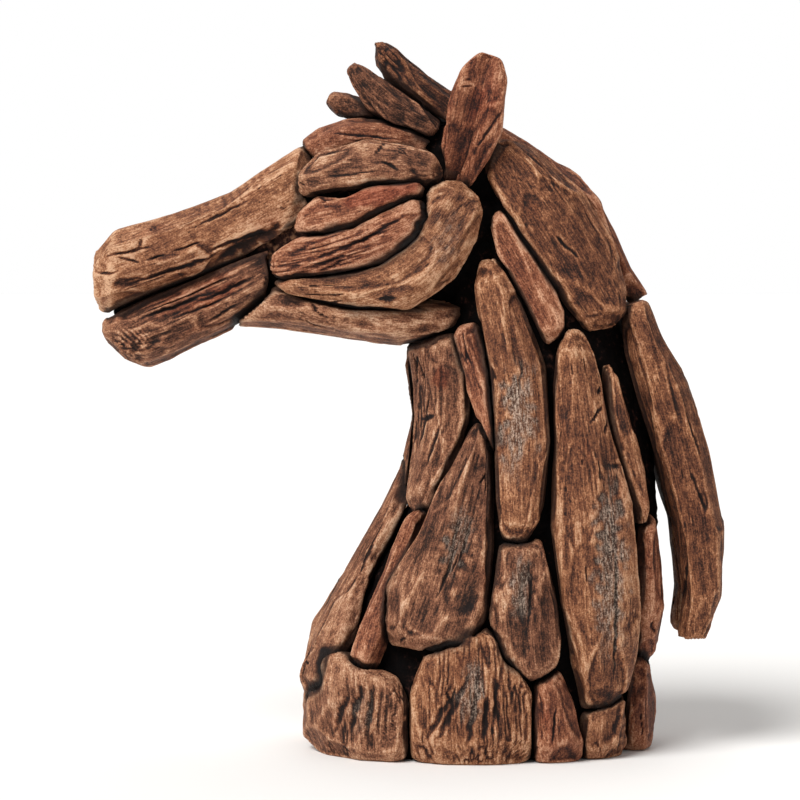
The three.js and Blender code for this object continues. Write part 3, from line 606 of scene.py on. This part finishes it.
def make_mesh(name, points, attributes):
    """A closed mesh of a grid that joins up round its second direction, with a fan over each end."""
    rows, turns = points.shape[:2]
    flat = np.concatenate([points.reshape(-1, 3), points[:1].mean(1), points[-1:].mean(1)])
    index = np.arange(rows * turns).reshape(rows, turns)
    after = np.roll(index, -1, 1)
    quads = np.stack([index[:-1], after[:-1], after[1:], index[1:]], -1).reshape(-1, 4)
    first, last = rows * turns, rows * turns + 1
    fan = np.stack([np.full(turns, first), after[0], index[0]], -1)
    fan_end = np.stack([np.full(turns, last), index[-1], after[-1]], -1)
    quad = flat[quads]
    faced = np.cross(quad[:, 2] - quad[:, 0], quad[:, 3] - quad[:, 1])
    if (faced * (quad.mean(1) - flat.mean(0))).sum() < 0:
        quads, fan, fan_end = quads[:, ::-1], fan[:, ::-1], fan_end[:, ::-1]
    corners = np.concatenate([quads.ravel(), fan.ravel(), fan_end.ravel()])
    sizes = np.concatenate([np.full(len(quads), 4), np.full(2 * turns, 3)])
    mesh = bpy.data.meshes.new(name)
    mesh.vertices.add(len(flat))
    mesh.vertices.foreach_set("co", (flat * MM).astype(np.float32).ravel())
    mesh.loops.add(len(corners))
    mesh.loops.foreach_set("vertex_index", corners.astype(np.int32))
    mesh.polygons.add(len(sizes))
    mesh.polygons.foreach_set("loop_start", np.concatenate([[0], np.cumsum(sizes)[:-1]]).astype(np.int32))
    mesh.update(calc_edges=True)
    mesh.validate()
    mesh.shade_smooth()
    for key, values in attributes.items():
        add_attribute(mesh, key, values, rows, turns)
    return mesh


def add_attribute(mesh, key, values, rows, turns):
    """Stores a grid of numbers or vectors on the mesh's points, the two end points included."""
    size = values.shape[2] if values.ndim == 3 else 1
    values = values.reshape(rows, turns, size)
    ends = np.concatenate([values[:1].mean(1), values[-1:].mean(1)])
    values = np.concatenate([values.reshape(-1, size), ends]).astype(np.float32)
    kind, field = ("FLOAT_VECTOR", "vector") if size == 3 else ("FLOAT", "value")
    mesh.attributes.new(key, kind, "POINT").data.foreach_set(field, values.ravel())


def resampled(wood, others, spacing):
    """A length's surface on a grid with steps that suit it: its points, the grain's coordinates, the gap
    to the nearest other piece, and the least gap met on the way straight out."""
    along = np.linspace(-1, 2, ROUGH_ROWS)
    round_ = np.linspace(0, 2 * math.pi, ROUGH_TURNS, endpoint=False)
    rough, _ = wood.surface(along, round_)
    gap = gap_to(rough, others)
    sparse, ahead = rough[::2, ::2], normals_of(rough)[::2, ::2]
    gap_ahead = np.min([gap_to(sparse + reach * ahead, others) for reach in FEELERS], axis=0)
    seen = np.where(gap > TOUCHING, 1, HIDDEN_SHARE)
    row_steps = np.linalg.norm(np.diff(rough, axis=0), axis=-1).mean(1)
    turn_steps = np.linalg.norm(np.roll(rough, -1, 1) - rough, axis=-1)
    turn_steps = np.percentile(turn_steps, WIDE_PERCENTILE, axis=0) * seen.mean(0)
    row_spacing, turn_spacing = spacing
    fine_along = evened(along, row_steps, row_spacing)
    fine_round = evened(np.append(round_, 2 * math.pi), turn_steps, turn_spacing)[:-1]
    points, grain = wood.surface(fine_along, fine_round)
    gap = read_grid(gap, along, round_, fine_along, fine_round)
    gap_ahead = read_grid(gap_ahead, along[::2], round_[::2], fine_along, fine_round)
    return points, grain, gap, gap_ahead


SEAM_DEPTH = 0.9  # how far a length's edge is worn down where it meets its neighbour, in mm
SEAM_GAPS = (0.6, 4.0)  # the gaps between which it is worn, most where they just touch, in mm
OPEN_GAP = (TOUCHING, 4.0)  # gaps to the nearest piece where the work first shows, and fully does
OPEN_AHEAD = (1.5, 3.0)  # the same for the gap straight ahead
FOOT = (0.4, 2.5)  # heights between which work on the surface fades in above the flat underside
GRAIN_SHIFT = ((18, 18, 0), (60, 60, 400))  # how far from the tree's middle a length was sawn, in mm
TONE_SPREAD = 0.02
SEAM_FADE = (0.4, 3.5)  # gaps to the nearest piece between which the near black of the seam, painted shadow with dirt, fades out, in mm
EDGE_FADE = (1.5, 10)  # and between which the dirt and painted shade beside it fade out
CREVICE_FADE = (1.0, 6.0)  # gaps straight ahead between which the dirt and painted shade of a crevice fade out
PROUD_BLUR, PROUD_HEIGHT = 5, 0.25  # an edge stands proud of this blurred surface by this many mm
RIDGE_BLUR, RIDGE_HEIGHT = 36, 1.2  # the same for a broad ridge
END_BLUR = 20  # blurring that leaves only a length's ends facing along it


def shape_attributes(points, normals, gap, gap_ahead):
    """What the material needs to know of the finished shape, each as a number from 0 to 1 or -1 to 1."""
    proud = ((points - blurred(points, PROUD_BLUR)) * normals).sum(-1)
    ridge = ((points - blurred(points, RIDGE_BLUR)) * normals).sum(-1)
    runs = unit(np.gradient(blurred(points, END_BLUR), axis=0))
    return {
        # gap: near the neighbour's surface the seam is painted near black, as shadow and dirt
        "gap": 1 - smooth_step(*SEAM_FADE, gap),
        # crevice: how much neighbours stand in front, for painted occlusion shade with dirt
        "crevice": 1 - smooth_step(*CREVICE_FADE, gap_ahead),
        # edge: nearness to a neighbour, for painted shade with dirt beside the seams
        "edge": 1 - smooth_step(*EDGE_FADE, gap),
        "proud": np.clip(proud / PROUD_HEIGHT, -1, 1),
        "ridge": np.clip(ridge / RIDGE_HEIGHT, -1, 1),
        "end": np.abs((normals * runs).sum(-1)),
    }


def worked(name, triangles, others):
    """A length of wood as a finished mesh: resampled, chiselled, weathered, and worn along its seams."""
    kind = kind_of(name)
    far_side = name.endswith("_right")
    weather = {**PLAIN, **WEATHER[kind]}
    rng = np.random.default_rng(zlib.crc32(name.encode()))
    outwards = UP if kind in WRAPPED else AWAY if far_side else -AWAY
    wood = Length(triangles, UP if kind in UPRIGHT else None, outwards, rng)
    points, grain, gap, gap_ahead = resampled(wood, others, RIGHT_SPACING if far_side else LEFT_SPACING)
    if kind in WRAPPED:
        grain = grain[..., [1, 2, 0]]
    grain = grain + rng.uniform(*GRAIN_SHIFT)

    normals = normals_of(points)
    runs = unit(np.gradient(points, axis=0))
    exposed = smooth_step(*OPEN_GAP, gap) * smooth_step(*OPEN_AHEAD, gap_ahead)
    free = smooth_step(*FOOT, points[..., 2])
    marks = marked(points, normals, [] if far_side else MARKS.get(kind, []))
    taken = chiselled(points, normals, runs, exposed * free, weather["cuts"], rng)
    worn, opened = weathered(grain, weather, marks["open"])
    least, widest = SEAM_GAPS
    seam = SEAM_DEPTH * (1 - smooth_step(TOUCHING, widest, gap)) * smooth_step(least, TOUCHING, gap)
    down = ((taken + worn + marks["down"]) * exposed + seam) * free
    points = np.clip(points - normals * down[..., None], LOWEST, HIGHEST)

    tone = weather["tone"] + rng.uniform(-TONE_SPREAD, TONE_SPREAD) + marks["pale"] - marks["dark"]
    attributes = {
        "grain": grain,
        "open": opened,
        "tone": tone,
        "red": weather["red"] + marks["red"],
        "lime": weather["lime"] + marks["white"],
        "rasped": marks["rasped"],
    }
    return make_mesh(name, points, attributes | shape_attributes(points, normals, gap, gap_ahead))


# The dark inner body
BODY_VOXEL = 3.1  # size of its skin's faces, in mm
BODY_WELD = 0.01  # corners closer than this are one, in mm
BODY_DEPTH = 2.4  # how far in an ordinary hollow between its lumps lies, in mm
BODY_LUMPS = ((0.5, 7.0, 0), (0.35, 3.2, 9))  # noise layers: height as a share of that, size in mm, shift
LUMP_LEVEL, LUMP_LIMIT = 0.6, 1.4  # their middle and most, as shares of the depth
BODY_FOOT = (0.0, 2.5)  # heights between which they fade in above the flat underside, in mm
TONGUE = (-105.0, -85.0)  # x in front of which it is a thin smooth tongue, and behind which it is lumpy
BARE = (-82.0, 352.0, 34.0)  # x, z and radius of the place behind the nose where its sawdust lies bare


def even_skin(name):
    """A node's solid as an object with one skin of even faces."""
    triangles = solid(name)
    corners = (triangles.reshape(-1, 3) * MM).tolist()
    faces = np.arange(len(triangles) * 3).reshape(-1, 3).tolist()
    data = bpy.data.meshes.new(name)
    data.from_pydata(corners, [], faces)
    body = bpy.data.objects.new(name + "_body", data)
    bpy.context.scene.collection.objects.link(body)
    merge = body.modifiers.new("merge", "WELD")
    merge.merge_threshold = BODY_WELD * MM
    remesh = body.modifiers.new("even", "REMESH")
    remesh.mode = "VOXEL"
    remesh.voxel_size = BODY_VOXEL * MM
    remesh.use_smooth_shade = True
    evaluated = body.evaluated_get(bpy.context.evaluated_depsgraph_get())
    skin = bpy.data.meshes.new_from_object(evaluated)
    body.modifiers.clear()
    body.data = skin
    return body


def inner_body(name):
    """The rough dark mass between the lengths. Every point of its even skin is pressed in along its
    normal by noise of two sizes, except on the tongue and at the foot."""
    body = even_skin(name)
    skin = body.data
    points, normals = np.empty((2, len(skin.vertices) * 3), np.float32)
    skin.vertices.foreach_get("co", points)
    skin.vertices.foreach_get("normal", normals)
    points, normals = points.reshape(-1, 3) / MM, normals.reshape(-1, 3)
    lumps = LUMP_LEVEL + sum(height * noise(points / size + shift) for height, size, shift in BODY_LUMPS)
    depth = BODY_DEPTH * np.clip(lumps, 0, LUMP_LIMIT) * smooth_step(*BODY_FOOT, points[:, 2])
    depth *= smooth_step(*TONGUE, points[:, 0])
    points = points - normals * depth[:, None]
    points[:, 2] = np.maximum(points[:, 2], 0)
    skin.vertices.foreach_set("co", (points * MM).astype(np.float32).ravel())
    x, z, radius = BARE
    bare = 1 - smooth_step(0.4, 1.0, np.hypot(points[:, 0] - x, points[:, 2] - z) / radius)
    skin.attributes.new("bare", "FLOAT", "POINT").data.foreach_set("value", bare.astype(np.float32))
    skin.update()
    return body


# Materials
def linear(code):
    """An sRGB hex colour as linear light, with full alpha."""
    parts = [int(code[k : k + 2], 16) / 255 for k in (1, 3, 5)]
    return [p / 12.92 if p <= 0.04045 else ((p + 0.055) / 1.055) ** 2.4 for p in parts] + [1.0]


def fill(tree, node, inputs):
    """Gives a node's inputs, by name or number, their values or links to other nodes' outputs."""
    for socket, value in inputs.items():
        if isinstance(value, bpy.types.NodeSocket):
            tree.links.new(value, node.inputs[socket])
        else:
            node.inputs[socket].default_value = value


def add(tree, kind, inputs=(), output=0, **settings):
    """Adds a node with its settings and gives back its named or numbered output. inputs holds values or
    other nodes' outputs, as a list in the inputs' order or a dictionary by name or number."""
    made = tree.nodes.new("ShaderNode" + kind)
    for key, value in settings.items():
        setattr(made, key, value)
    fill(tree, made, inputs if isinstance(inputs, dict) else dict(enumerate(inputs)))
    return made.outputs[output]


def new_material(name):
    """A new material, with its node tree and its shader."""
    material = bpy.data.materials.new(name)
    material.use_nodes = True
    return material, material.node_tree, material.node_tree.nodes["Principled BSDF"]


def set_stops(colour_ramp, stops):
    """Gives a new colour ramp its stops, each a place and a colour."""
    for place, _ in stops[1:-1]:
        colour_ramp.elements.new(place)
    for element, (place, colour) in zip(colour_ramp.elements, stops):
        element.position = place
        element.color = linear(colour)


def streaks(tree, across, along, detail, roughness=0.6, shift=0.0):
    """Noise drawn out along the grain: across and along are the sizes of its streaks in mm."""
    grain = add(tree, "Attribute", output="Vector", attribute_name="grain")
    scales = (1 / across, 1 / across, 1 / along)
    scaled = add(tree, "VectorMath", [grain, scales, (shift, shift, shift)], operation="MULTIPLY_ADD")
    inputs = {"Vector": scaled, "Scale": 1.0, "Detail": detail, "Roughness": roughness}
    return add(tree, "TexNoise", inputs)


def spots(tree, size, detail, roughness=0.5):
    """Noise the same in all directions: size is that of its spots in mm."""
    place = add(tree, "TexCoord", output="Object")
    inputs = {"Vector": place, "Scale": 1 / (size * MM), "Detail": detail, "Roughness": roughness}
    return add(tree, "TexNoise", inputs)


def swung(tree, pattern, size, base):
    """A pattern from 0 to 1 turned into size times its distance from a half, added to base."""
    swing = add(tree, "Math", [pattern, 0.5], operation="SUBTRACT")
    return add(tree, "Math", [swing, size, base], operation="MULTIPLY_ADD")


def cover(tree, pattern, size, base, low, high, most):
    """How thickly something lies on the wood: a base with a pattern's swing of the given size, which gives
    0 below low and most above high, smooth between."""
    uneven = swung(tree, pattern, size, base)
    share = add(tree, "MapRange", [uneven, low, high], interpolation_type="SMOOTHSTEP")
    return add(tree, "Math", [share, most], operation="MULTIPLY")


RING_SCALE = 0.035  # bands of growth rings come every 9 mm, where a wave's ring takes 0.31 mm at scale 1
SCRATCH_SCALE = 200.0  # a rasp's scratches come every 2.2 mm, where a wave at scale 1 takes 0.44 m


def teak_patterns(tree):
    """The patterns of old teak, each from 0 to 1. Fibres and pores are as coarse as they need to be to
    show: real ones are a third as wide."""
    grain = add(tree, "Attribute", output="Vector", attribute_name="grain")
    place = add(tree, "TexCoord", output="Object")
    rings = {"Vector": grain, "Scale": RING_SCALE, "Distortion": 2.5, "Detail": 2.0, "Detail Scale": 0.35}
    scratches = {"Vector": place, "Scale": SCRATCH_SCALE, "Distortion": 1.2, "Detail": 2.0}
    pores = streaks(tree, 0.8, 3.5, 2, 0.6, shift=17.0)
    return {
        "fibres": streaks(tree, 0.9, 10, 4, 0.7),
        "pores": add(tree, "MapRange", [pores, 0.58, 0.7], interpolation_type="SMOOTHSTEP"),
        "wide": streaks(tree, 5.5, 50, 3, shift=7.3),
        "stain": streaks(tree, 12, 40, 3, shift=31.0),
        "grit": streaks(tree, 1.3, 6, 4, 0.75, shift=91.0),
        "speck": spots(tree, 1.22, 3, 0.7),
        "mottle": spots(tree, 4.76, 3, 0.65),
        "patch": spots(tree, 29.4, 4, 0.6),
        "grey": spots(tree, 52.6, 3, 0.55),
        "rings": add(tree, "TexWave", rings, output="Fac", wave_type="RINGS", rings_direction="Z"),
        "scratches": add(tree, "TexWave", scratches, output="Fac", bands_direction="DIAGONAL"),
    }


# How strongly the patterns and the attributes of the shape show in how light the wood is
PATTERN_SHOWS = {"fibres": 1.0, "wide": 0.42, "patch": 0.7, "speck": 1.05, "mottle": 0.5}
WEAR_SHOWS = {"proud": 0.2, "ridge": 0.09, "tone": 1.0, "open": -0.3}
RASP_SHOWS = 0.5
PORE_SHOWS = -0.22
RING_SHOWS = (0.22, 0.05)  # more in end grain, and everywhere


def teak_lightness(tree, patterns, read):
    """How light the wood is, from 0 to 1 round a half."""
    value = 0.5
    for key, size in PATTERN_SHOWS.items():
        value = swung(tree, patterns[key], size, value)
    rasped = add(tree, "Math", [read["rasped"], RASP_SHOWS], operation="MULTIPLY")
    value = swung(tree, patterns["scratches"], rasped, value)
    value = add(tree, "Math", [patterns["pores"], PORE_SHOWS, value], operation="MULTIPLY_ADD")
    ring_size = add(tree, "Math", [read["end"], *RING_SHOWS], operation="MULTIPLY_ADD")
    value = swung(tree, patterns["rings"], ring_size, value)
    for key, size in WEAR_SHOWS.items():
        value = add(tree, "Math", [read[key], size, value], operation="MULTIPLY_ADD")
    return value


def teak_covers(tree, patterns, read, stain):
    """What lies on the wood, from the lowest cover up, as thickness, colour and blend: grey from the sun,
    red stain, the dark ground of the bloom and its pale flecks, and dirt with painted shade by the edges,
    in the crevices and, near black, in the seams."""
    patch, lime = patterns["patch"], read["lime"]
    flecks = cover(tree, patterns["speck"], 0.8, patterns["grit"], 0.4, 0.78, 0.62)
    return [
        (cover(tree, patterns["grey"], 1.0, 0.0, -0.02, 0.2, 0.4), "#cfc2c4", "MULTIPLY"),
        (cover(tree, patterns["stain"], 1.0, read["red"], 0.05, 0.5, 0.6), stain, "MULTIPLY"),
        (add(tree, "Math", [lime, 0.45], operation="MULTIPLY", use_clamp=True), "#3a271d", "MIX"),
        (add(tree, "Math", [flecks, lime], operation="MULTIPLY", use_clamp=True), "#dcc2ad", "MIX"),
        # dark brown beside the edges: painted shade near the neighbours, with dirt
        (cover(tree, patch, 2.2, read["edge"], 0.35, 1.25, 0.6), "#371e13", "MIX"),
        # dark brown in the crevices: painted occlusion shade, with dirt
        (cover(tree, patch, 0.6, read["crevice"], 0.1, 0.9, 0.85), "#241109", "MIX"),
        # near black in the seams: painted shadow between the lengths, with dirt
        (cover(tree, patch, 0.5, read["gap"], 0.35, 1.0, 1.0), "#0f0705", "MIX"),
    ]


ATTRIBUTES = ("gap", "crevice", "edge", "proud", "ridge", "end", "open", "tone", "red", "lime", "rasped")
SHADES = (0.0, 0.22, 0.42, 0.58, 0.76, 1.0)  # how light the wood is at each of its colours
TEAK_IOR = 1.45  # of oiled wood


def weathered_teak(name, colours, stain, roughness):
    """Old teak, cut with chisels and left to dry: tan where a cut edge has worn, brown between, with
    growth rings and dark fibres along the grain. The eye sees a dull, fine-grained, uneven brown."""
    material, tree, shader = new_material(name)
    read = {key: add(tree, "Attribute", output="Fac", attribute_name=key) for key in ATTRIBUTES}
    patterns = teak_patterns(tree)

    colour = add(tree, "ValToRGB", [teak_lightness(tree, patterns, read)])
    set_stops(colour.node.color_ramp, list(zip(SHADES, colours)))
    for thickness, laid_on, blend in teak_covers(tree, patterns, read, stain):
        inputs = {0: thickness, 6: colour, 7: linear(laid_on)}
        colour = add(tree, "Mix", inputs, output=2, data_type="RGBA", blend_type=blend)
    rough = swung(tree, patterns["wide"], 0.25, roughness)
    rough = add(tree, "Math", [read["open"], 0.15, rough], operation="MULTIPLY_ADD", use_clamp=True)
    height = add(tree, "Math", [patterns["speck"], 0.6, patterns["fibres"]], operation="MULTIPLY_ADD")
    height = add(tree, "Math", [patterns["pores"], -0.35, height], operation="MULTIPLY_ADD")
    bump = add(tree, "Bump", {"Height": height, "Strength": 1.0, "Distance": 0.9 * MM})
    fill(tree, shader, {"Base Color": colour, "Roughness": rough, "Normal": bump})
    fill(tree, shader, {"IOR": TEAK_IOR, "Specular IOR Level": 0.3})
    return material


# the darkest stops are near black partly as painted shadow in the gaps between the lengths
PITCH_AND_SHADOW_SHADES = ((0.4, "#030101"), (0.6, "#0a0403"), (0.74, "#36201a"), (0.94, "#8a6248"))


def pitch(name):
    """Sawdust bound with dark pitch, pressed in by hand: the eye sees a rough mass, near black, with a
    dull shine and lighter sawdust here and there on the lumps. Its near black is partly painted shadow
    for the deep gaps between the lengths."""
    material, tree, shader = new_material(name)
    lumps = spots(tree, 4.17, 4, 0.6)
    bare = add(tree, "Attribute", output="Fac", attribute_name="bare")
    value = swung(tree, spots(tree, 22.2, 2), 0.5, lumps)
    value = add(tree, "Math", [bare, 0.22, value], operation="MULTIPLY_ADD")
    colour = add(tree, "ValToRGB", [value])
    set_stops(colour.node.color_ramp, PITCH_AND_SHADOW_SHADES)
    bump = add(tree, "Bump", {"Height": lumps, "Strength": 0.7, "Distance": 1.0 * MM})
    fill(tree, shader, {"Base Color": colour, "Normal": bump})
    fill(tree, shader, {"Roughness": 0.8, "Specular IOR Level": 0.08})
    return material


MATERIALS = {
    "teak": weathered_teak(
        "weathered_teak",
        ("#150907", "#381e13", "#673c28", "#885538", "#b27b56", "#dfb18d"),
        stain="#c26a40",
        roughness=0.64,
    ),
    "teak_pale": weathered_teak(
        "sun_dried_teak",
        ("#180b08", "#3e2417", "#6d432f", "#8e5d43", "#b68361", "#e1b898"),
        stain="#c4744a",
        roughness=0.68,
    ),
    "teak_red": weathered_teak(
        "red_stained_teak",
        ("#150706", "#371a12", "#653725", "#854d34", "#ab7050", "#d9a584"),
        stain="#bf5f3a",
        roughness=0.62,
    ),
    # the inner body's near-black colour is partly painted shadow in the gaps
    "core": pitch("pitch_bound_sawdust_and_painted_shadow"),
}


def finish_piece(piece, node):
    """Gives a piece its material, and puts it in its node's place on the body."""
    piece.data.materials.clear()
    piece.data.materials.append(MATERIALS[SLOTS[node]])
    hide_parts(node)
    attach(piece, "root")


# Every length, and the inner body
SOLIDS = {name: solid(name) for name in sorted(frame["nodes"])}
SPRINKLED = {
    name: sprinkled(triangles, NEIGHBOUR_DOT, np.random.default_rng(3)) for name, triangles in SOLIDS.items()
}
for name, triangles in SOLIDS.items():
    if name == "core":
        finish_piece(inner_body(name), name)
        continue
    others = np.concatenate([points for other, points in SPRINKLED.items() if other != name])
    piece = bpy.data.objects.new(name + "_wood", worked(name, triangles, others))
    bpy.context.scene.collection.objects.link(piece)
    finish_piece(piece, name)


# Studio
FLOOR_SIZE = 40.0  # in metres
PAPER = "#f4f2ef"


def make_floor():
    """A plain sheet of pale paper."""
    half = FLOOR_SIZE / 2
    corners = [(-half, -half, 0), (half, -half, 0), (half, half, 0), (-half, half, 0)]
    floor_mesh = bpy.data.meshes.new("floor")
    floor_mesh.from_pydata(corners, [], [(0, 1, 2, 3)])
    floor = bpy.data.objects.new("floor", floor_mesh)
    bpy.context.scene.collection.objects.link(floor)
    paper, tree, shader = new_material("paper")
    fill(tree, shader, {"Base Color": linear(PAPER), "Roughness": 0.9})
    floor_mesh.materials.append(paper)


# Each lamp: degrees round from the camera's side and up, strength, and width in degrees
LAMPS = {"key": (-42, 48, 3.15, 32), "fill": (50, 20, 0.3, 60), "top": (160, 62, 0.9, 50)}
ROOM_LIGHT = 0.24  # the light that the white room gives, as a share of how bright it shows


def light_studio():
    """Three soft lamps, and a white room that shows brighter than the light it gives."""
    for name, (azimuth, elevation, strength, width) in LAMPS.items():
        lamp = bpy.data.objects.new(name, bpy.data.lights.new(name, "SUN"))
        bpy.context.scene.collection.objects.link(lamp)
        lamp.data.energy = strength
        lamp.data.angle = math.radians(width)
        a, e = math.radians(azimuth), math.radians(elevation)
        towards = Vector((math.sin(a) * math.cos(e), -math.cos(a) * math.cos(e), math.sin(e)))
        lamp.rotation_euler = towards.to_track_quat("Z", "Y").to_euler()
    world = bpy.data.worlds.new("room")
    world.use_nodes = True
    tree = world.node_tree
    shown = add(tree, "Background", [linear("#ffffff"), 1.0])
    given = add(tree, "Background", [linear("#ffffff"), ROOM_LIGHT])
    straight = add(tree, "LightPath", output="Is Camera Ray")
    room = add(tree, "MixShader", [straight, given, shown])
    tree.links.new(room, tree.nodes["World Output"].inputs["Surface"])
    tree.nodes.remove(tree.nodes["Background"])
    bpy.context.scene.world = world
    bpy.context.scene.view_settings.view_transform = "Standard"


make_floor()
light_studio()
